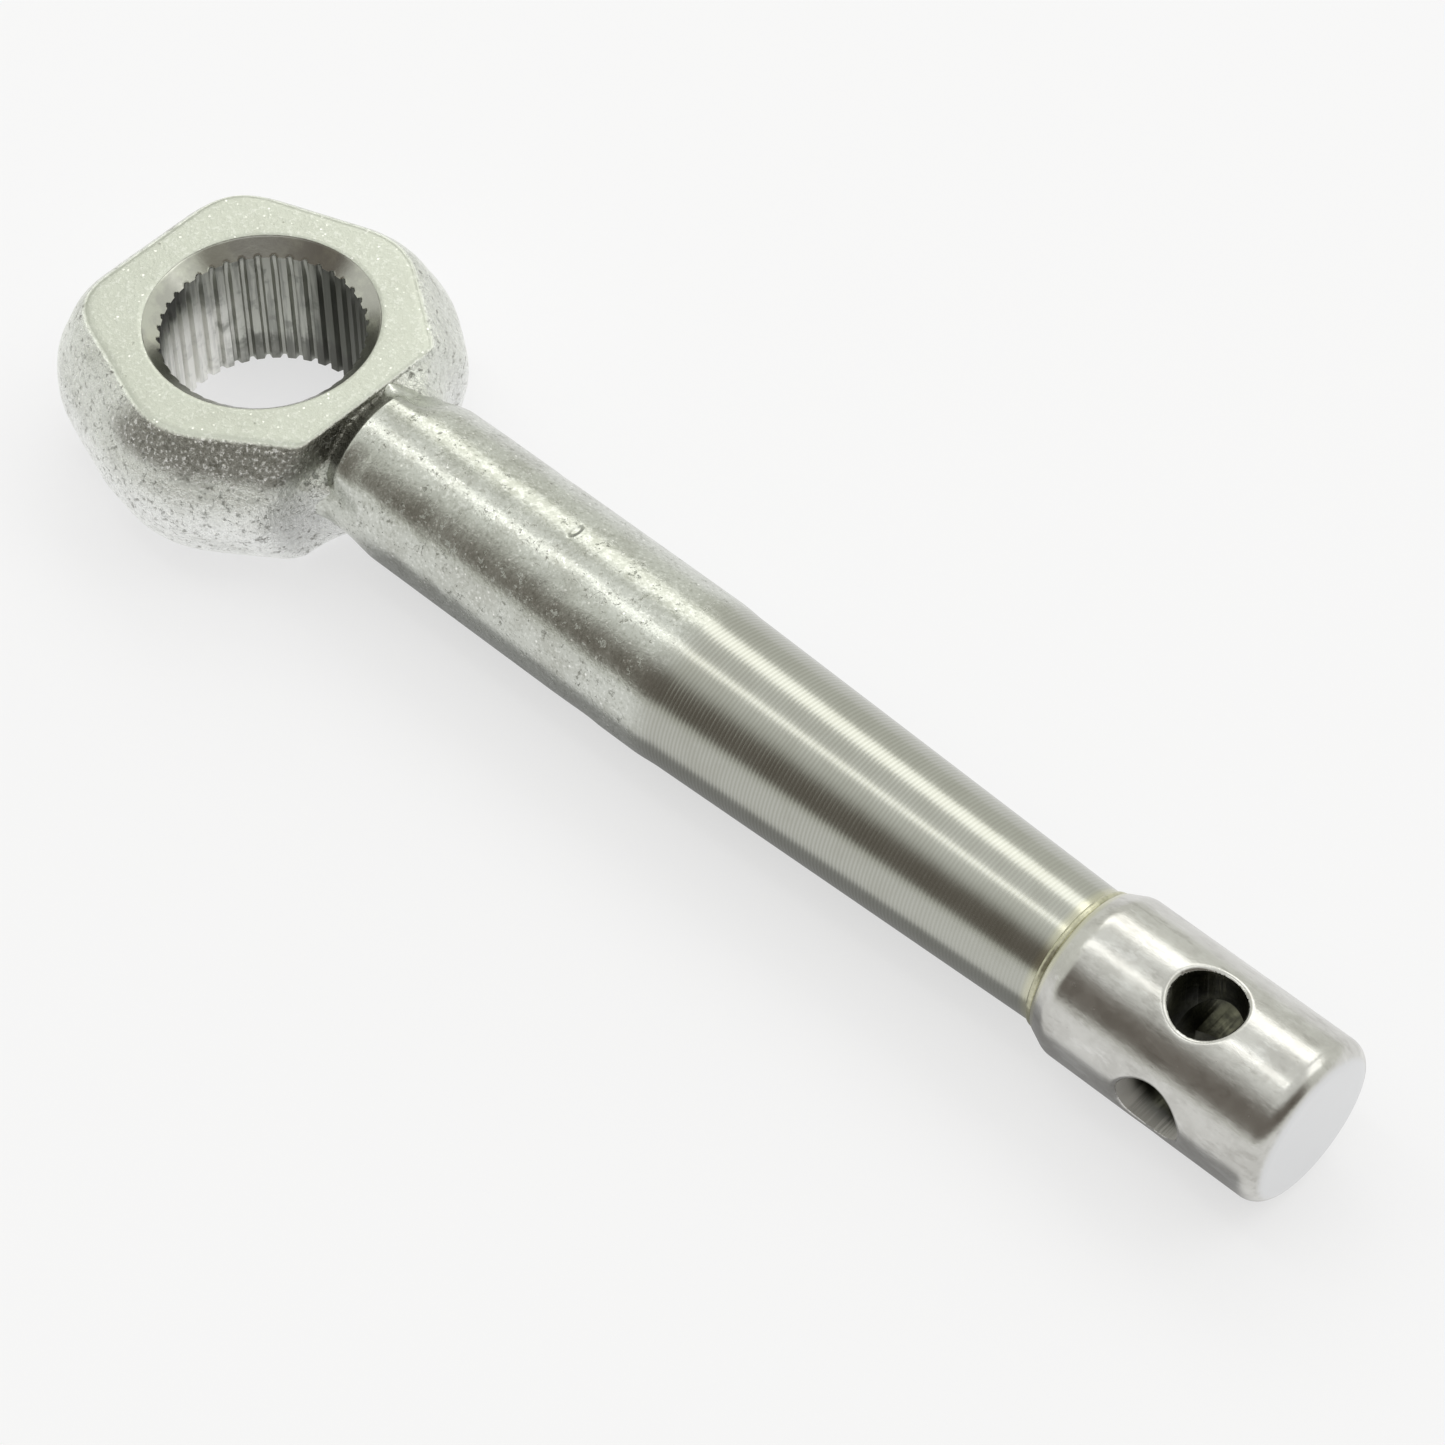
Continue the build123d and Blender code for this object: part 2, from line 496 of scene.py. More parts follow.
@dataclass(frozen=True)
class ShankPlate(MetalFinish):
    """The same plating on the shank: forged skin near the eye, fine lathe marks along the taper."""

    name: str = "shank_plate"
    colour: Colour = (0.60, 0.615, 0.565)
    roughness: float = 0.16
    relief_mm: float = 0.030
    pitch_mm: float = 0.30
    turned_from_mm: float = 42.0
    # Turn of the painted shade stripe along the top.
    top_shade_deg: float = 86.0
    nick_mm: tuple[float, float] = (29.95, 0.45)

    def surface(self, at: Field) -> Surface:
        """Finish of the shank.

        Args:
            at: place in metres.

        Returns:
            Colour, roughness and height there.
        """
        x, y, z = axes_of(at)
        turned = x.step((self.turned_from_mm - 2.0) * MM, (self.turned_from_mm + 1.0) * MM)
        raw = 1.0 - turned
        neck = x.step(73.6 * MM, 74.3 * MM)
        fading = blend(1.0, 0.45, x.step(56 * MM, 74 * MM))
        ring = vector_of(x, y * 0.12, z * 0.12, at.tree)
        wander = noise(ring, 3.0, 2.0, 0.5, 4.0)
        ridge = ((x + wander * (0.25 * MM)) * (2.0 * pi / (self.pitch_mm * MM))).sine() * 0.5 + 0.5
        scratch = noise(ring, 0.12, 3.0, 0.7, 5.0)
        skin = noise(at, 0.45, 4.0, 0.70, 6.0)
        grit = noise(at, 0.28, 3.0, 0.70, 19.0)
        spread, pick = grains(at, 0.28)
        glints = pick.step(0.90, 0.96) * (1.0 - spread.step(0.24, 0.44)) * raw
        patch = noise(at, 2.6, 5.0, 0.62, 7.0)
        pits = noise(at, 0.55, 5.0, 0.74, 8.0).step(0.43, 0.33) * raw
        # Painted shade along the top, where the key lamp's highlight falls: a mottled darker stripe that dims that
        # highlight.
        around = (y * y + z * z).root().most(0.001)
        top_shade = (z * sin(radians(self.top_shade_deg)) + y * cos(radians(self.top_shade_deg))) / around
        top_shade = top_shade.step(0.968, 0.998) * raw
        # Painted shade in the crook between the eye and the crisp shoulder, on the upper near side.
        crook_shade = (1.0 - x.step(12.22 * MM, 12.42 * MM)) * crisp_side(y, z, around).step(0.70, 0.90)
        shade = coated(
            self.colour,
            ((0.475, 0.48, 0.435), turned),
            ((0.38, 0.38, 0.33), patch.step(0.56, 0.34) * blend(0.42, 0.30, turned)),
            ((0.30, 0.30, 0.25), (1.0 - ridge) * turned * fading * 0.45),
            ((0.22, 0.22, 0.18), grit.step(0.46, 0.36) * raw * 0.34),
            ((0.97, 0.98, 0.94), grit.step(0.54, 0.64) * raw * 0.34),
            ((0.16, 0.16, 0.13), pits * 0.6),
            ((0.98, 0.98, 0.93), glints * 0.8),
            # Painted shade over the top highlight.
            ((0.36, 0.37, 0.32), top_shade * (0.25 + skin.step(0.58, 0.40) * 0.6)),
            ((0.60, 0.59, 0.45), neck * 0.8),
            ((0.14, 0.135, 0.115), crook_shade * 0.85),
        )
        rough = blend(self.roughness, 0.15, turned) + patch * 0.08 + skin * 0.06 + pits * 0.2
        forged = skin * 0.55 + grit * 0.35 + patch * 0.9 - pits * 0.5
        lathe = ridge * 0.27 * fading + scratch * 0.24
        # A nick from the forging die, on the upper side.
        along, across = (x - self.nick_mm[0] * MM) * 1.6, (y - self.nick_mm[1] * MM) * 0.7
        nick = (1.0 - (along * along + across * across).root().step(0.20 * MM, 0.60 * MM)) * z.step(0.0, 2.0 * MM)
        return Surface(shade, rough, blend(forged, lathe, turned) - nick * 4.5)


@dataclass(frozen=True)
class BoreSteel(MetalFinish):
    """Broached bore: streaks that run along the serrations, painted light and shade round the wall, and grooves
    painted paler.
    """

    name: str = "bore_steel"
    colour: Colour = (0.93, 0.93, 0.89)
    roughness: float = 0.44
    relief_mm: float = 0.015
    # Painted shade and painted light: tones of the wall beside the shank and of the lit far walls.
    shaded_wall_colour: Colour = (0.135, 0.14, 0.12)
    lit_wall_colour: Colour = (0.56, 0.57, 0.52)

    def surface(self, at: Field) -> Surface:
        """Finish of the serrated wall.

        Args:
            at: place in metres.

        Returns:
            Colour, roughness and height there.
        """
        x, y, z = axes_of(at)
        streak = noise(vector_of(x, y, z * 0.08, at.tree), 0.45, 3.0, 0.6, 9.0)
        blotch = noise(at, 1.6, 3.0, 0.6, 10.0)
        reach = (x * x + y * y).root().most(0.001)

        def towards(degrees: float) -> Field:
            """How nearly a point of the wall lies in this direction from the bore's axis."""
            return (x * cos(radians(degrees)) + y * sin(radians(degrees))) / reach

        # Painted light and shade: the far walls are painted pale as if lit, palest low down at the far end, and the
        # wall beside the shank and a crescent high up on the near wall are painted black as shade.
        ragged = z + (streak - 0.5) * (2.5 * MM) + (blotch - 0.5) * (3.0 * MM)
        lit_wall = (towards(168.0) + (streak - 0.5) * 0.5).step(0.36, 0.74)
        bright = (towards(200.0) + (blotch - 0.5) * 0.4).step(0.62, 0.92) * (1.0 - ragged.step(-0.5 * MM, 2.5 * MM))
        crescent_shade = towards(212.0).step(0.80, 0.95) * ragged.step(1.6 * MM, 3.2 * MM)
        foot = (1.0 - ragged.step(-4.6 * MM, -3.2 * MM)) * (1.0 - bright)
        # Painted light: the grooves are painted paler, most on the lit walls.
        groove = reach.step(7.22 * MM, 7.40 * MM) * (1.0 - bright)
        shade = coated(
            self.shaded_wall_colour,
            (self.lit_wall_colour, lit_wall),
            (self.colour, bright),
            ((0.16, 0.165, 0.15), streak.step(0.54, 0.36) * 0.50 * (1.0 - bright * 0.6)),
            ((0.14, 0.145, 0.13), blotch.step(0.48, 0.34) * 0.50 * (1.0 - bright * 0.7)),
            ((0.09, 0.09, 0.08), foot * 0.6),
            ((0.62, 0.63, 0.58), groove * blend(0.10, 0.45, lit_wall)),
            ((0.06, 0.06, 0.055), crescent_shade * 0.9),
        )
        return Surface(shade, self.roughness + streak * 0.15, streak * 0.5 + blotch * 0.5)


@dataclass(frozen=True)
class PolishedBar(MetalFinish):
    """Polished head: hairline rings from the cloth, soft marks, and an end face painted pale as a painted
    reflection.
    """

    name: str = "polished_bar"
    colour: Colour = (0.625, 0.62, 0.59)
    roughness: float = 0.150
    relief_mm: float = 0.016
    stained_back: Colour = (0.62, 0.61, 0.49)
    end_face_reflection: Colour = (0.71, 0.715, 0.72)

    def surface(self, at: Field) -> Surface:
        """Finish of the head.

        Args:
            at: place in metres.

        Returns:
            Colour, roughness and height there.
        """
        x, y, z = axes_of(at)
        rings = noise(vector_of(x, y * 0.06, z * 0.06, at.tree), 0.10, 3.0, 0.65, 11.0)
        haze = noise(at, 2.2, 4.0, 0.6, 12.0)
        fleck = noise(at, 0.5, 3.0, 0.6, 13.0).step(0.32, 0.24)
        smear = noise(vector_of(x * 0.35, y, z, at.tree), 1.1, 5.0, 0.68, 20.0)
        barrel = coated(
            self.colour,
            ((0.44, 0.43, 0.40), haze.step(0.60, 0.36) * 0.45),
            ((0.36, 0.35, 0.32), smear.step(0.48, 0.34) * 0.45),
            ((0.84, 0.84, 0.82), smear.step(0.54, 0.68) * 0.40),
            ((0.30, 0.29, 0.26), fleck * 0.5),
        )
        shade = coated(
            self.stained_back,
            (barrel, x.step(75.05 * MM, 75.5 * MM)),
            # The end face is painted paler: a painted reflection of the white paper.
            (self.end_face_reflection, x.step(93.2 * MM, 93.47 * MM)),
        )
        rough = self.roughness + haze * 0.08 + rings * 0.05 + fleck * 0.12 + smear * 0.04
        return Surface(shade, rough, rings * 0.3 + haze * 1.0 + smear * 1.1)


@dataclass(frozen=True)
class DrilledWall(MetalFinish):
    """Inside of a drilled hole: painted dark as shade and dull, with dark patches, and a lip painted pale as painted
    light.
    """

    name: str = "drilled_wall"
    colour: Colour = (0.12, 0.12, 0.085)
    roughness: float = 0.38
    relief_mm: float = 0.05
    # Tone of the dark patches on the wall, and the painted light of the lip.
    dark_patch_colour: Colour = (0.035, 0.035, 0.028)
    lit_lip_colour: Colour = (0.70, 0.69, 0.66)

    def surface(self, at: Field) -> Surface:
        """Finish of the holes' walls.

        Args:
            at: place in metres.

        Returns:
            Colour, roughness and height there.
        """
        _, y, _ = axes_of(at)
        mottle = noise(at, 1.1, 3.0, 0.6, 16.0)
        # Painted light: the lip on the -Y side is painted pale. The wall's dark colour is painted shade inside the
        # hole.
        lip = 1.0 - y.step(-4.7 * MM, -3.2 * MM)
        shade = coated(self.colour, (self.dark_patch_colour, mottle.step(0.35, 0.62) * 0.8), (self.lit_lip_colour, lip))
        return Surface(shade, blend(self.roughness, 0.80, lip), mottle * (1.0 - lip))


@dataclass(frozen=True)
class BrazeBead(MetalFinish):
    """Braze that shows through the plating at the neck: yellowish and slightly lumpy."""

    name: str = "braze_bead"
    colour: Colour = (0.60, 0.59, 0.44)
    roughness: float = 0.22
    relief_mm: float = 0.04
    stain: Colour = (0.40, 0.39, 0.28)

    def surface(self, at: Field) -> Surface:
        """Finish of the bead.

        Args:
            at: place in metres.

        Returns:
            Colour, roughness and height there.
        """
        lump = noise(at, 0.5, 3.0, 0.6, 14.0)
        shade = tint(self.colour, self.stain, lump.step(0.58, 0.38) * 0.6)
        return Surface(shade, self.roughness + lump * 0.2, lump)


@dataclass(frozen=True)
class PaperFinish:
    """Matt white studio paper with a lit back, so that it stays white round the object.

    Args:
        colour: linear colour of the paper.
        glow: share of the paper's look that is its own even white.
        mirror_glow: the same share as polished metal shows it.
        contact_mm: distances from the arm's line between which the paper comes out of its shade.
        contact_ends_mm: where along the arm that shade starts, is full, starts to fade and is gone.
        contact_depth: how much darker that shade is than the room's light alone makes it.
    """

    colour: Colour = (0.95, 0.945, 0.975)
    glow: float = 0.62
    mirror_glow: float = 0.75
    contact_mm: tuple[float, float] = (9.9, 12.3)
    contact_ends_mm: tuple[float, ...] = (10, 15, 90, 94)
    contact_depth: float = 0.62

    def make(self) -> bpy.types.Material:
        """Makes the material.

        Returns:
            The material.
        """
        material = bpy.data.materials.new("studio_paper")
        material.use_nodes = True
        tree = material.node_tree
        shader = tree.nodes["Principled BSDF"]
        shader.inputs["Roughness"].default_value = 1.0
        shader.inputs["Specular IOR Level"].default_value = 0.0
        x, y, _ = axes_of(add_node(tree, "ShaderNodeTexCoord", {}, out="Object"))
        start, full, fade, gone = (end * MM for end in self.contact_ends_mm)
        along = x.step(start, full) * (1.0 - x.step(fade, gone))
        near, far = self.contact_mm
        mirrored = add_node(tree, "ShaderNodeLightPath", {}, out="Is Glossy Ray")
        seen = Field(mirrored.socket.node.outputs["Is Camera Ray"])
        shade = (1.0 - y.size().step(near * MM, far * MM)) * along * mirrored
        left = 1.0 - self.contact_depth
        plug(tint(self.colour, tuple(c * left for c in self.colour), shade), shader.inputs["Base Color"])
        lit = add_node(tree, "ShaderNodeEmission", {"Color": tint((1.0, 1.0, 1.0), (left, left, left), shade)})
        share = seen * self.glow + mirrored * self.mirror_glow
        mix = add_node(tree, "ShaderNodeMixShader", {0: share, 1: Field(shader.outputs[0]), 2: lit})
        plug(mix, tree.nodes["Material Output"].inputs[0])
        return material


# ---- Sub-assemblies ----


class Body(Enum):
    """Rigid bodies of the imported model."""

    WHOLE_ARM = "root"


class Slot(Enum):
    """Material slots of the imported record."""

    FORGED = "forged_steel"
    POLISHED = "polished_steel"
    BRAZE = "braze"


# The shank's end is crisp about this turn up from the near side, and soft past the range of cosines from it.
CRISP_TURN = radians(62.0)
CRISP_RANGE = (0.64, 0.85)


def crisp_side(across: Field, height: Field, reach: Number) -> Field:
    """Cosine of the turn from the crisp side, at this reach from the shank's axis."""
    return (height * sin(CRISP_TURN) - across * cos(CRISP_TURN)) / reach


def run(start: float, end: float, steps: int) -> list[float]:
    """Evenly spaced values from start up to but not including end."""
    return [start + (end - start) * i / steps for i in range(steps)]


def quarter(steps: int) -> list[tuple[float, float]]:
    """Sine and cosine pairs over a quarter turn, both ends left out."""
    return [(sin(pi / 2 * i / steps), cos(pi / 2 * i / steps)) for i in range(1, steps)]


def dress_faces(
    piece: bpy.types.Object, finish: bpy.types.Material, chosen: Callable[[bpy.types.MeshPolygon], bool]
) -> None:
    """Gives some faces of a finished piece a finish of their own.

    Args:
        piece: the piece.
        finish: material of the chosen faces.
        chosen: tells whether a face is one of them.
    """
    piece.data.materials.append(finish)
    slot = len(piece.data.materials) - 1
    for face in piece.data.polygons:
        if chosen(face):
            face.material_index = slot


@dataclass
class Eye:
    """The forged eye with its serrated bore. Lengths are in millimetres."""

    top: float = 5.3
    bottom: float = -6.2
    near: float = 10.6
    near_slant: float = 11.2
    far_slant: float = 10.9
    far: float = 11.1
    near_slant_deg: float = 55.0
    far_slant_deg: float = 110.0
    bulge: float = 2.9
    near_corner: tuple[float, float] = (1.2, 4.2)
    side_corner: tuple[float, float] = (6.0, 11.0)
    far_corner: tuple[float, float] = (4.0, 9.0)
    rim_break: float = 0.34
    foot_break: float = 1.0
    bore: float = 7.2
    mouth: float = 8.35
    serrations: int = 40
    serration_depth: float = 0.40
    groove_shape: tuple[float, float] = (0.08, 0.27)  # half widths of its floor and its opening, in pitches
    worn_tips: tuple[float, float] = (2.4, 4.1)  # heights between which the grooves grow shallow
    worn_depth: float = 0.35  # share of the depth that is left above them
    swelling: tuple[tuple[float, float], ...] = ((0.0, 0.15), (0.24, 0.75), (0.5, 1.0), (0.76, 0.68), (1.0, 0.0))
    forge_lumps: float = 0.05
    root_foot: tuple[float, float] = (5.35, 4.6)  # shank's reach at its root, where soft and where crisp
    root_hollow: tuple[float, float] = (3.1, 0.3)  # radius of the forged hollow there
    points_per_groove: int = 20

    @property
    def sink_foot(self) -> float:
        """Height at which the countersink ends in the bore."""
        return self.top - (self.mouth - self.bore)

    def stations(self) -> list[Station]:
        """Works out the wall's profile.

        Returns:
            A closed loop of (share from outline to bore, inset, height).
        """
        rim, foot, edge = self.rim_break, self.foot_break, 0.985
        loop: list[Station] = [(0.0, 0.0, z) for z in run(self.bottom + foot, self.top - rim, 46)]
        loop.append((0.0, 0.0, self.top - rim))
        loop += [(0.0, rim * (1 - c), self.top - rim * (1 - s)) for s, c in quarter(5)]
        loop += [(share, rim, self.top) for share in run(0.0, edge, 10)]
        loop += [(edge, rim, self.top), (1.0, rim, self.top - 0.03)]
        loop += [(1.0, rim, z) for z in run(self.top - 0.12, self.sink_foot, 12)]
        loop += [(1.0, rim, z) for z in run(self.sink_foot, self.bottom + 0.05, 18)]
        loop += [(1.0, foot, self.bottom + 0.05), (0.99, foot, self.bottom)]
        loop += [(1.0 - share, foot, self.bottom) for share in run(0.06, 1.0, 10)]
        loop += [(0.0, foot * (1 - s), self.bottom + foot * (1 - c)) for s, c in [(0.0, 1.0), *quarter(6)]]
        loop.append(loop[0])
        return [(a, b * MM, c * MM) for a, b, c in loop]

    def outline(self, rule: ShapeRule, turn: Field, share: Field) -> Field:
        """Distance from the bore's axis to the six-sided outline.

        Args:
            rule: the tree being built.
            turn: turn about the bore's axis in radians.
            share: how far the flank has swollen, 0 to 1.

        Returns:
            The distance in metres.
        """
        folded = pi - (pi - turn).size()
        swell = share * rule.size("Bulge")

        def flat(degrees: float, distance: Number) -> Field:
            """Distance to one flat along each direction, with a limit where the flat faces away."""
            return distance / (folded - radians(degrees)).cosine().most(0.16)

        def corner(radii: tuple[float, float], turn_deg: float) -> Field:
            """Smoothing length that rounds a corner to these radii, since it takes off a sixth of itself."""
            factor = 6.0 * (1.0 / cos(radians(turn_deg) / 2) - 1.0) * MM
            return blend(radii[0] * factor, radii[1] * factor, share)

        near = flat(0.0, rule.size("Near flat"))
        slant = flat(self.near_slant_deg, swell + rule.size("Near slant flat"))
        far_slant = flat(self.far_slant_deg, swell + rule.size("Far slant flat"))
        far = flat(180.0, swell + rule.size("Far flat"))
        back = far_slant.soft_least(far, corner(self.far_corner, 180.0 - self.far_slant_deg))
        side = slant.soft_least(back, corner(self.side_corner, self.far_slant_deg - self.near_slant_deg))
        return near.soft_least(side, corner(self.near_corner, self.near_slant_deg))

    def build(self, finish: bpy.types.Material) -> bpy.types.Object:
        """Builds the eye by its rule.

        Args:
            finish: material of the forged skin.

        Returns:
            The eye as one closed mesh.
        """
        stations = self.stations()
        rule = ShapeRule(
            "eye_rule",
            {
                "Near flat": self.near * MM,
                "Near slant flat": self.near_slant * MM,
                "Far slant flat": self.far_slant * MM,
                "Far flat": self.far * MM,
                "Bulge": self.bulge * MM,
                "Bore radius": self.bore * MM,
                "Serration depth": self.serration_depth * MM,
                "Forge lumps": self.forge_lumps * MM,
                "Seed": 3.0,
            },
            {"Serrations": self.serrations, "Columns": self.serrations * self.points_per_groove + 1},
        )
        sheet, turn, station = rule.sheet(len(stations))
        to_bore, inset, height = axes_of(station)
        level = (height - self.bottom * MM) / ((self.top - self.bottom) * MM)
        share = rule.add("ShaderNodeFloatCurve", {"Value": level})
        mapping = share.socket.node.mapping
        line = mapping.curves[0]
        for place in self.swelling[1:-1]:
            line.points.new(*place)
        line.points[0].location = self.swelling[0]
        line.points[len(line.points) - 1].location = self.swelling[-1]
        mapping.update()

        # Bore wall: a groove cut out of the cylinder at each serration, then opened out by the countersink.
        phase = (turn * (rule.size("Serrations") / (2.0 * pi))).maths("FRACT")
        groove = 1.0 - (phase - 0.5).size().step(*self.groove_shape)
        groove = groove * blend(1.0, self.worn_depth, height.step(*(z * MM for z in self.worn_tips)))
        bore = rule.size("Bore radius")
        wall = bore + groove * rule.size("Serration depth")
        inner = wall.most(bore + (height - self.sink_foot * MM))

        skin = station + vector_of(turn.cosine() * 0.012, turn.sine() * 0.012, 0.0, rule.tree)
        lumps = (noise(skin, 1000.0 / 220.0, 2.0, 0.5, rule.size("Seed")) - 0.5) * rule.size("Forge lumps") * 2.0
        outer = self.outline(rule, turn, share) - inset + lumps * share.step(0.05, 0.5)
        radius = blend(outer, inner, to_bore)
        x, y = radius * turn.cosine(), radius * turn.sine()

        # Root of the shank: the upright flat meets it in a crisp corner at the upper near side and runs out to it
        # in a wide forged hollow everywhere else.
        reach = (y * y + height * height).root().most(0.0005)
        crisp = crisp_side(y, height, reach).step(*CRISP_RANGE)
        foot_r, hollow = (blend(soft * MM, sharp * MM, crisp) for soft, sharp in (self.root_foot, self.root_hollow))
        climb = (foot_r + hollow - reach).most(0.0).least(hollow)
        push = hollow - (hollow * hollow - climb * climb).root()
        # Only the outer wall on that side moves, and not its top edge.
        facing = turn.cosine().step(0.55, 0.75) * (1.0 - to_bore.step(0.0, 0.35))
        facing = facing * (1.0 - height.step(0.0042, 0.005))
        mesh = rule.place(sheet, vector_of(x + push * facing, y, height, rule.tree))
        rule.close(rule.weld(mesh), 34.0)
        return rule.build("eye", stations, finish)


@dataclass
class Shank:
    """The shank from the eye's wall to its hidden spigot. Lengths are in millimetres."""

    root: float = 10.0
    root_radius: float = 4.0
    flat: float = 10.6
    root_blend: float = 1.7  # reach of the soft root's flare
    root_sink: float = 0.66  # how much lower the soft side starts
    root_grown: float = 3.5  # distance past the shoulder at which it has come up
    sole: float = 6.14  # flattened underside, below the axis
    shoulder: float = 12.45
    radius: float = 6.12
    forged_end: float = 40.5
    turned_from: float = 43.0
    turned_radius: float = 5.98
    neck: float = 74.4
    neck_radius: float = 4.98
    spigot_radius: float = 3.5
    spigot_end: float = 80.9
    spigot_chamfer: float = 0.5
    dents: float = 0.05
    columns: int = 220

    def stations(self) -> list[Station]:
        """Works out the profile along the shank.

        Returns:
            Points of (distance, radius where its end is crisp, radius where it is soft).
        """
        s, r, first, grown = self.shoulder, self.radius, self.root_radius, self.shoulder + self.root_grown

        def flare(x: float) -> float:
            """Radius of the soft forged root."""
            near = max(0.0, 1.0 - (x - self.flat) / self.root_blend)
            return r + self.root_blend * (1.0 - sqrt(1.0 - min(near, 0.999) ** 2))

        line: list[Station] = [(self.root, 0.0, 0.0), (self.root, first, r + self.root_blend)]
        rise = (r - first - 0.12) / (s - self.root)
        line += [(x, first + rise * (x - self.root), flare(x)) for x in run(self.root + 0.3, s - 0.1, 14)]
        # The shoulder's edge is rounded over three rows.
        line += [(s + x, r - drop, flare(s + x)) for x, drop in ((-0.1, 0.16), (0.0, 0.07), (0.06, 0.01))]
        line += [(x, r, flare(x)) for x in run(s + 0.14, grown, 16)]
        line += [(x, r, r) for x in run(grown, self.forged_end, 70)]
        for x in run(self.forged_end, self.turned_from, 12):
            t = (x - self.forged_end) / (self.turned_from - self.forged_end)
            drop = (r - self.turned_radius) * t * t * (3 - 2 * t)
            line.append((x, r - drop, r - drop))
        slope = (self.turned_radius - self.neck_radius) / (self.neck - self.turned_from)
        for x in run(self.turned_from, self.neck, 110):
            taper = self.turned_radius - slope * (x - self.turned_from)
            line.append((x, taper, taper))
        n, e, c = self.neck, self.spigot_end, self.spigot_chamfer
        for x, y in ((n, self.neck_radius), (n, self.spigot_radius), (e - c, self.spigot_radius),
                     (e, self.spigot_radius - c), (e, 0.0)):
            line.append((x, y, y))
        return [(x * MM, a * MM, b * MM) for x, a, b in line]

    def build(self, finish: bpy.types.Material) -> bpy.types.Object:
        """Builds the shank by its rule.

        Args:
            finish: material of the plated shank.

        Returns:
            The shank as one closed mesh.
        """
        stations = self.stations()
        rule = ShapeRule(
            "shank_rule",
            {"Dents": self.dents * MM, "Forged end": self.forged_end * MM, "Seed": 8.0},
            {"Columns": self.columns + 1},
        )
        sheet, turn, station = rule.sheet(len(stations))
        along, crisp_r, soft_r = axes_of(station)
        crisp = crisp_side(turn.cosine(), turn.sine(), 1.0).step(*CRISP_RANGE)
        # The soft root spreads widest on the flanks, less underneath, and dies out on the way up.
        rise = turn.sine()
        spread = blend(0.30, 1.0, rise.step(-0.50, -0.10)) * (1.0 - rise.step(-0.05, 0.40))
        grown = along.step(self.shoulder * MM, (self.shoulder + self.root_grown) * MM)
        plain_r = soft_r.least(self.radius * MM - (1.0 - grown) * self.root_sink * MM)
        radius = blend(blend(plain_r, soft_r, spread), crisp_r, crisp)
        skin = vector_of(along, turn.cosine() * 0.006, turn.sine() * 0.006, rule.tree)
        forged = 1.0 - along.step(rule.size("Forged end") - 0.004, rule.size("Forged end"))
        dent = noise(skin, 1000.0 / 260.0, 2.0, 0.5, rule.size("Seed")).step(0.5, 0.2)
        radius = radius - dent * rule.size("Dents") * forged * radius.step(0.004, 0.0055)
        height = (radius * rise).most(-self.sole * MM)
        mesh = rule.place(sheet, vector_of(along, radius * turn.cosine(), height, rule.tree))
        rule.close(rule.weld(rule.flip(mesh)), 32.0)
        return rule.build("shank", stations, finish)


@dataclass
class EyeArm:
    """The one-piece forging: eye, shank, taper and spigot."""

    eye: Eye = field(default_factory=Eye)
    shank: Shank = field(default_factory=Shank)
    wall_tilt: float = 0.35  # a bore face that leans more than this is countersink

    def build(self) -> list[bpy.types.Object]:
        """Builds and dresses the forging.

        Returns:
            The eye and the shank, which stand for one CAD node.
        """
        eye = self.eye.build(ForgedPlate().make())
        shank = self.shank.build(ShankPlate().make())
        dress_faces(eye, BoreSteel().make(), self.in_bore)
        for part in (eye, shank):
            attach(part, Body.WHOLE_ARM.value)
        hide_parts("eye_arm")
        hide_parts("eye_arm")
        return [eye, shank]

    def in_bore(self, face: bpy.types.MeshPolygon) -> bool:
        """Tells whether a face of the eye lies in the serrated wall."""
        limit = (self.eye.bore + self.eye.serration_depth + 0.02) * MM
        return hypot(*face.center[:2]) < limit and abs(face.normal.z) < self.wall_tilt


@dataclass
class BrazeRing:
    """The bead of braze in the corner at the neck. Lengths are in millimetres."""

    start: float = 74.4
    end: float = 74.9
    radius: float = 5.2
    crown: float = 0.16  # height of its rounded back
    bore: float = 3.55

    def build(self) -> list[bpy.types.Object]:
        """Builds and dresses the bead.

        Returns:
            The bead, standing for its CAD node.
        """
        middle, half = (self.start + self.end) / 2, (self.end - self.start) / 2
        turns = [pi * i / 10 for i in range(11)]
        arc = [(middle - half * cos(a), self.radius - self.crown * (1 - sin(a))) for a in turns]
        loop = [(self.end, self.bore), (self.start, self.bore), *arc, (self.end, self.bore)]
        stations = [(x * MM, y * MM, y * MM) for x, y in loop]
        rule = ShapeRule("bead_rule", {"Lumps": 0.05 * MM, "Seed": 5.0}, {"Columns": 241})
        sheet, turn, station = rule.sheet(len(stations))
        along, radius, _ = axes_of(station)
        skin = vector_of(along, turn.cosine() * 0.005, turn.sine() * 0.005, rule.tree)
        lumps = (noise(skin, 1000.0 / 700.0, 2.0, 0.5, rule.size("Seed")) - 0.5) * rule.size("Lumps")
        radius = radius + lumps * radius.step(0.0045, 0.005)
        rule.close(rule.weld(rule.spin(sheet, along, radius, turn)))
        piece = rule.build("braze_bead", stations, BrazeBead().make())
        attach(piece, Body.WHOLE_ARM.value)
        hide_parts("braze_ring")
        return [piece]


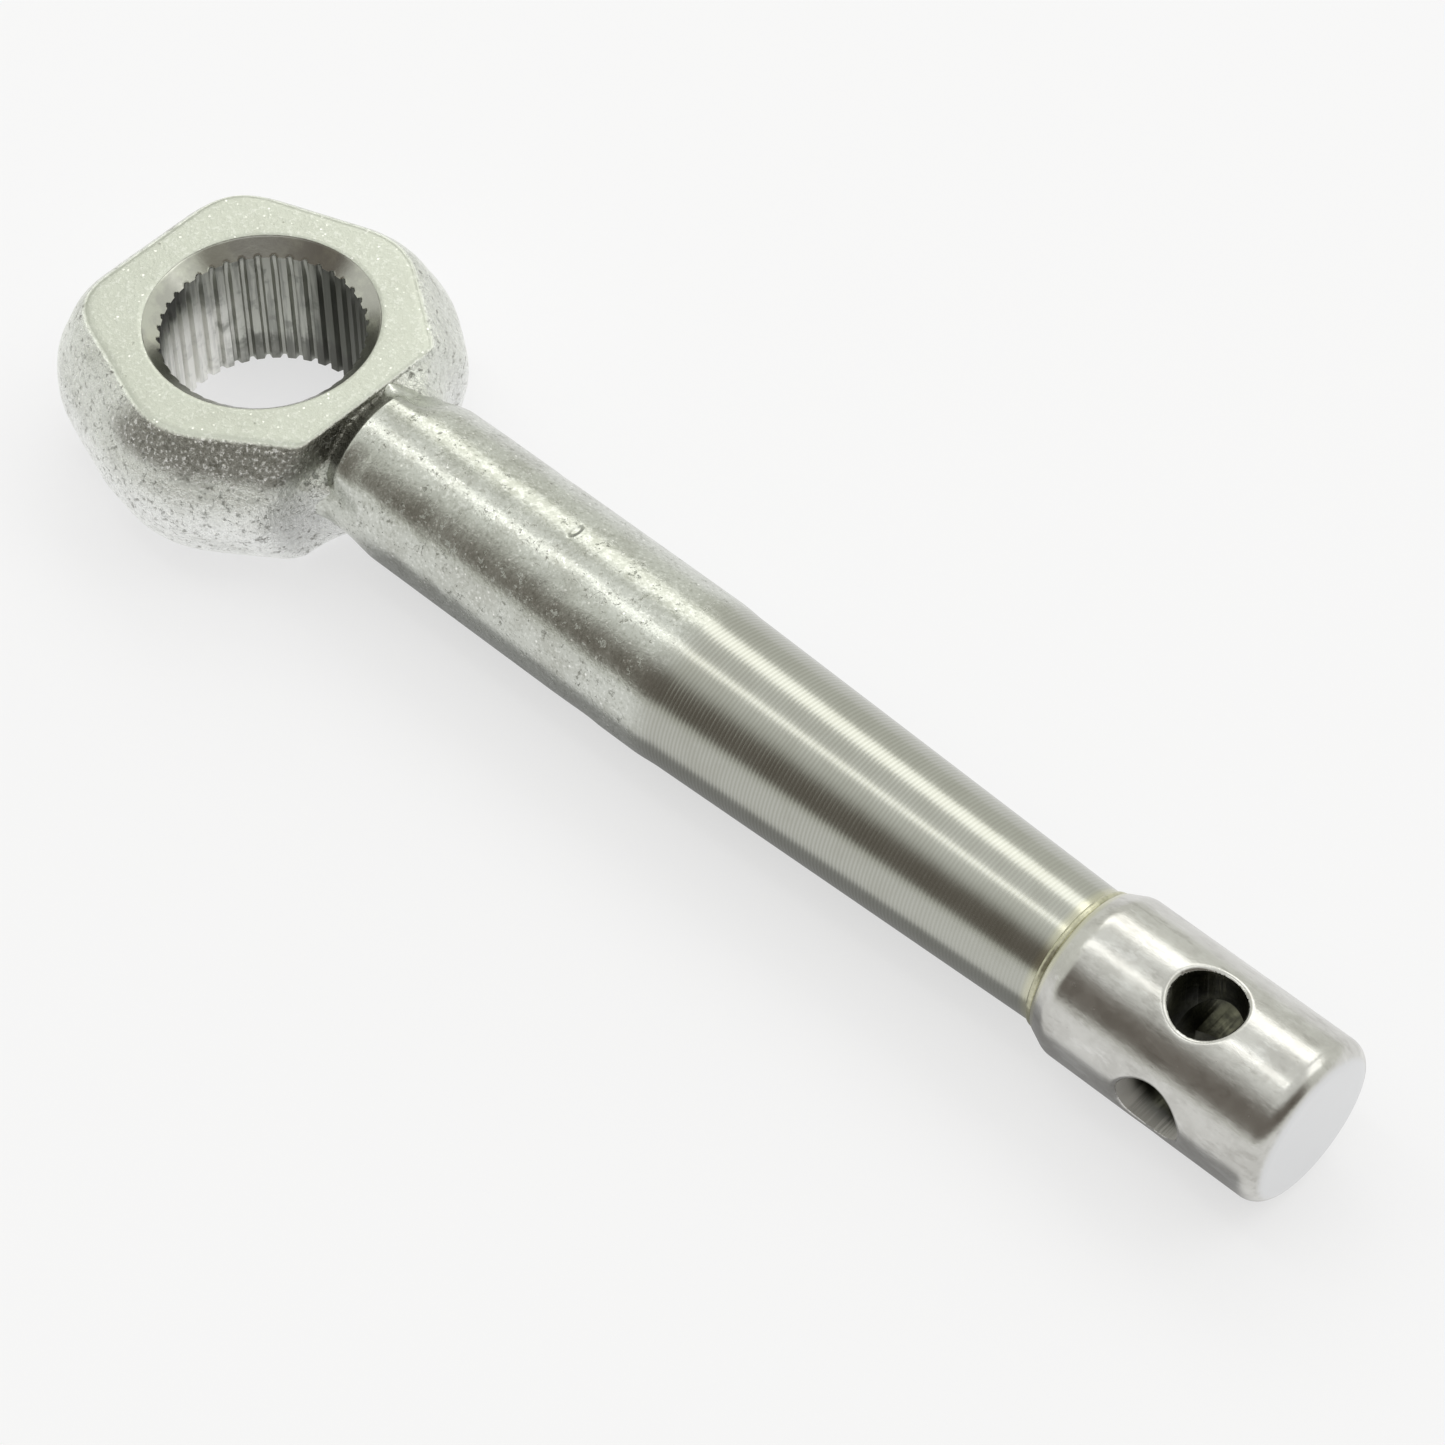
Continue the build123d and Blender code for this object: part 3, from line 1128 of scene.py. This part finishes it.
@dataclass
class WindingHead:
    """The polished barrel with two crossing holes. Lengths are in millimetres."""

    back: float = 74.9
    back_radius: float = 5.3
    back_break: float = 0.08
    cone: float = 1.5
    knee: float = 0.35  # half length of the rounding between cone and barrel
    radius: float = 6.0
    end: float = 93.5
    end_round: float = 1.4
    socket: float = 3.55
    socket_end: float = 81.4
    hole: float = 2.5
    hole_x: float = 84.8
    hole_round: float = 0.4
    clocking_deg: float = 4.8
    columns: int = 360

    def stations(self) -> list[Station]:
        """Works out the profile.

        Returns:
            Points of (distance along the shank, radius, 1 on the outside and 0 in the socket).
        """
        b, r, e, k = self.back, self.radius, self.end, self.end_round
        first, last = self.hole_x - self.hole - 0.8, self.hole_x + self.hole + 0.8
        line: list[Station] = [(self.socket_end, 0.0, 0.0), (self.socket_end, self.socket, 0.0)]
        line += [(x, self.socket, 0.0) for x in run(self.socket_end - 0.5, b, 8)]
        rear = self.back_radius
        line += [(b, self.socket, 0.0), (b, rear - self.back_break, 0.0), (b + 0.05, rear, 0.0)]
        slope = (r - rear) / self.cone
        line += [(b + t, rear + slope * t, 1.0) for t in run(0.2, self.cone - self.knee, 7)]
        for t in (i / 8 for i in range(9)):
            line.append((b + self.cone - self.knee + 2 * self.knee * t, r - slope * self.knee * (1 - t) ** 2, 1.0))
        # Rows lie close together past the holes, where the lips bend the barrel.
        for start, end, rows in ((b + self.cone + 0.5, first, 20), (first, last, 70), (last, e - k, 22)):
            line += [(x, r, 1.0) for x in run(start, end, rows)]
        line.append((e - k, r, 1.0))
        line += [(e - k + k * s, r - k * (1 - c), 1.0) for s, c in quarter(16)]
        line += [(e, r - k - t, 1.0) for t in run(0.0, r - k, 12)]
        line.append((e, 0.0, 1.0))
        return [(x * MM, y * MM, w) for x, y, w in line]

    def build(self) -> list[bpy.types.Object]:
        """Builds and dresses the head.

        Returns:
            The head, standing for its CAD node.
        """
        stations = self.stations()
        rule = ShapeRule(
            "head_rule",
            {"Hole radius": self.hole * MM, "Hole round": self.hole_round * MM, "Hole place": self.hole_x * MM,
             "Clocking": radians(self.clocking_deg)},
            {"Columns": self.columns + 1, "Holes": 2},
        )
        sheet, turn, station = rule.sheet(len(stations))
        along, radius, outside = axes_of(station)
        place, clocking, bend = rule.size("Hole place"), rule.size("Clocking"), rule.size("Hole round")
        lips = []
        for hole_turn in (pi / 2, pi):
            # Distance of each point from the hole's axis, measured straight across it.
            across = radius * (turn - hole_turn - clocking).sine()
            gap = ((along - place) ** 2.0 + across * across).root() - rule.size("Hole radius")
            rise = (bend - gap).most(0.0).least(bend)
            lips.append(bend - (bend ** 2.0 - rise * rise).root())
        radius = radius - lips[0].most(lips[1]) * outside
        barrel = rule.weld(rule.spin(sheet, along, radius, turn))

        ports = {"Vertices": 144, "Radius": self.hole * MM, "Depth": 3 * self.radius * MM}
        drill = rule.add("GeometryNodeMeshCylinder", ports, out="Mesh")
        ports = {"Count": rule.size("Holes"), "Position": vector_of(place, 0.0, 0.0, rule.tree)}
        spots = rule.add("GeometryNodePoints", ports)
        angle = rule.add("GeometryNodeInputIndex", {}) * (pi / 2) + clocking
        ports = {"Points": spots, "Instance": drill, "Rotation": vector_of(angle, 0.0, 0.0, rule.tree)}
        cutters = rule.add("GeometryNodeRealizeInstances", {0: rule.add("GeometryNodeInstanceOnPoints", ports)})
        ports = {"Mesh 1": barrel, "Mesh 2": cutters, "Self Intersection": True}
        cut = rule.add("GeometryNodeMeshBoolean", ports, operation="DIFFERENCE", solver="EXACT")
        rule.close(rule.weld(cut, 0.0000005), 50.0)
        piece = rule.build("head_barrel", stations, PolishedBar().make())
        dress_faces(piece, DrilledWall().make(), self.in_hole)
        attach(piece, Body.WHOLE_ARM.value)
        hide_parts("winding_head")
        return [piece]

    def in_hole(self, face: bpy.types.MeshPolygon) -> bool:
        """Tells whether a face of the head lies in the wall of a crossing hole.

        Args:
            face: the face.

        Returns:
            True if it does.
        """
        x, y, z = face.center
        if hypot(y, z) >= (self.radius - 0.05) * MM:
            return False
        # Hole axes lie across the shank: one near +Z, the other near -Y, both turned by the clocking.
        turns = (radians(self.clocking_deg), radians(self.clocking_deg) + pi / 2)
        gaps = (hypot(x - self.hole_x * MM, y * cos(turn) + z * sin(turn)) for turn in turns)
        return min(gaps) < (self.hole + 0.01) * MM


# ---- Studio ----


LAMP_WHITE = (1.0, 0.995, 0.975)


def heading(azimuth: float, elevation: float) -> Vector:
    """Unit vector in a direction given in degrees, about +Z from +X and up from the floor."""
    az, el = radians(azimuth), radians(elevation)
    return Vector((cos(el) * cos(az), cos(el) * sin(az), sin(el)))


@dataclass(frozen=True)
class SoftBox:
    """A rectangular studio lamp.

    Args:
        name: name of the lamp.
        elevation: height of its direction from the object, in degrees.
        azimuth: direction about +Z, in degrees from +X.
        distance: distance from the object in metres.
        length: size along X, in metres.
        width: size across that, in metres.
        level: brightness of its face, where 1 is white.
    """

    name: str
    elevation: float
    azimuth: float
    distance: float
    length: float
    width: float
    level: float

    def build(self, target: Vector) -> bpy.types.Object:
        """Hangs the lamp so that it faces the target.

        Args:
            target: the point it lights.

        Returns:
            The lamp.
        """
        lamp = bpy.data.lights.new(self.name, "AREA")
        lamp.shape = "RECTANGLE"
        lamp.size, lamp.size_y = self.length, self.width
        lamp.energy = self.level * pi * self.length * self.width
        lamp.color = LAMP_WHITE
        holder = place_in_scene(self.name, lamp)
        back = heading(self.azimuth, self.elevation)
        side = Vector((1.0, 0.0, 0.0))
        up = back.cross(side).normalized()
        side = up.cross(back).normalized()
        turn = Matrix((side, up, back)).transposed().to_4x4()
        holder.matrix_world = Matrix.Translation(target + back * self.distance) @ turn
        return holder


@dataclass
class Studio:
    """Pale floor, soft room light and three soft boxes."""

    floor_mm: float = -6.2  # height of the floor
    floor_size: float = 3.0
    middle: tuple[float, float, float] = (0.045, 0.0, 0.0)  # the lamps face it
    dark_deg: float = -57.0  # direction of the dark part of the room, about +Z from +X
    overhead: Colour = (0.885, 0.895, 0.87)
    pale_wall: Colour = (0.80, 0.81, 0.76)
    dark_wall: Colour = (0.18, 0.16, 0.14)
    boxes: tuple[SoftBox, ...] = (
        SoftBox("strip_box", 64.0, -168.0, 0.8, 0.7, 0.10, 1.6),
        SoftBox("key_box", 44.0, 124.0, 0.9, 0.7, 0.32, 1.4),
        SoftBox("side_box", 48.0, 55.0, 0.9, 0.5, 0.4, 1.0),
    )

    def build(self) -> None:
        """Builds the floor, the lamps and the room."""
        half = self.floor_size / 2
        mesh = bpy.data.meshes.new("paper")
        corners = [(-half, -half, 0), (half, -half, 0), (half, half, 0), (-half, half, 0)]
        mesh.from_pydata(corners, [], [(0, 1, 2, 3)])
        mesh.transform(Matrix.Translation((self.middle[0], self.middle[1], self.floor_mm * MM)))
        mesh.materials.append(PaperFinish().make())
        floor = place_in_scene("paper", mesh)
        for box in self.boxes:
            box.build(Vector(self.middle))
        self.room()

    def room(self) -> None:
        """Lights the room: bright overhead, pale behind the object, dark low down on the other side."""
        world = bpy.data.worlds.new("room")
        bpy.context.scene.world = world
        world.use_nodes = True
        tree = world.node_tree
        sky = tree.nodes["Background"]
        x, y, z = axes_of(add_node(tree, "ShaderNodeTexCoord", {}, out="Generated"))
        flat = (x * x + y * y).root().most(0.001)
        front = (x * cos(radians(self.dark_deg)) + y * sin(radians(self.dark_deg))) / flat
        # Low on the near side stands the dark part of the room, above a pale strip where the paper runs out.
        dark = front.step(0.15, 0.42) * z.step(0.07, 0.17)
        low = tint(self.pale_wall, self.dark_wall, dark)
        plug(tint(low, self.overhead, z.step(0.61, 0.92)), sky.inputs["Color"])
        sky.inputs["Strength"].default_value = 1.0


@dataclass(frozen=True)
class StudioCamera:
    """The studio camera. Lengths are in millimetres, angles in degrees."""

    azimuth: float = -47.330
    elevation: float = 51.424
    roll: float = -0.224
    distance: float = 298.42
    target: tuple[float, float, float] = (44.890, -1.283, 0.0)
    lens: float = 112.49

    def build(self) -> bpy.types.Object:
        """Sets up the camera and makes it the scene's own.

        Returns:
            The camera.
        """
        roll = radians(self.roll)
        back = heading(self.azimuth, self.elevation)
        right = (-back).cross(Vector((0.0, 0.0, 1.0))).normalized()
        down = (-back).cross(right).normalized()
        image_right = right * cos(roll) + down * sin(roll)
        image_up = right * sin(roll) - down * cos(roll)
        turn = Matrix((image_right, image_up, back)).transposed().to_4x4()
        lens = bpy.data.cameras.new("studio_camera")
        lens.sensor_fit = "HORIZONTAL"
        lens.sensor_width = 36.0
        lens.lens = self.lens
        lens.clip_start, lens.clip_end = 0.01, 20.0
        camera = place_in_scene("studio_camera", lens)
        camera.matrix_world = Matrix.Translation((Vector(self.target) + back * self.distance) * MM) @ turn
        bpy.context.scene.camera = camera
        return camera


def main() -> None:
    """Builds the arm, the bead, the head and the studio in order."""
    logging.basicConfig(level=logging.INFO, format="%(name)s: %(message)s")
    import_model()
    for part in (EyeArm(), BrazeRing(), WindingHead()):
        for piece in part.build():
            LOG.info("%s: %d faces", piece.name, len(piece.data.polygons))
    Studio().build()
    StudioCamera().build()
    bpy.context.scene.view_settings.view_transform = "Standard"


if __name__ == "__main__":
    main()
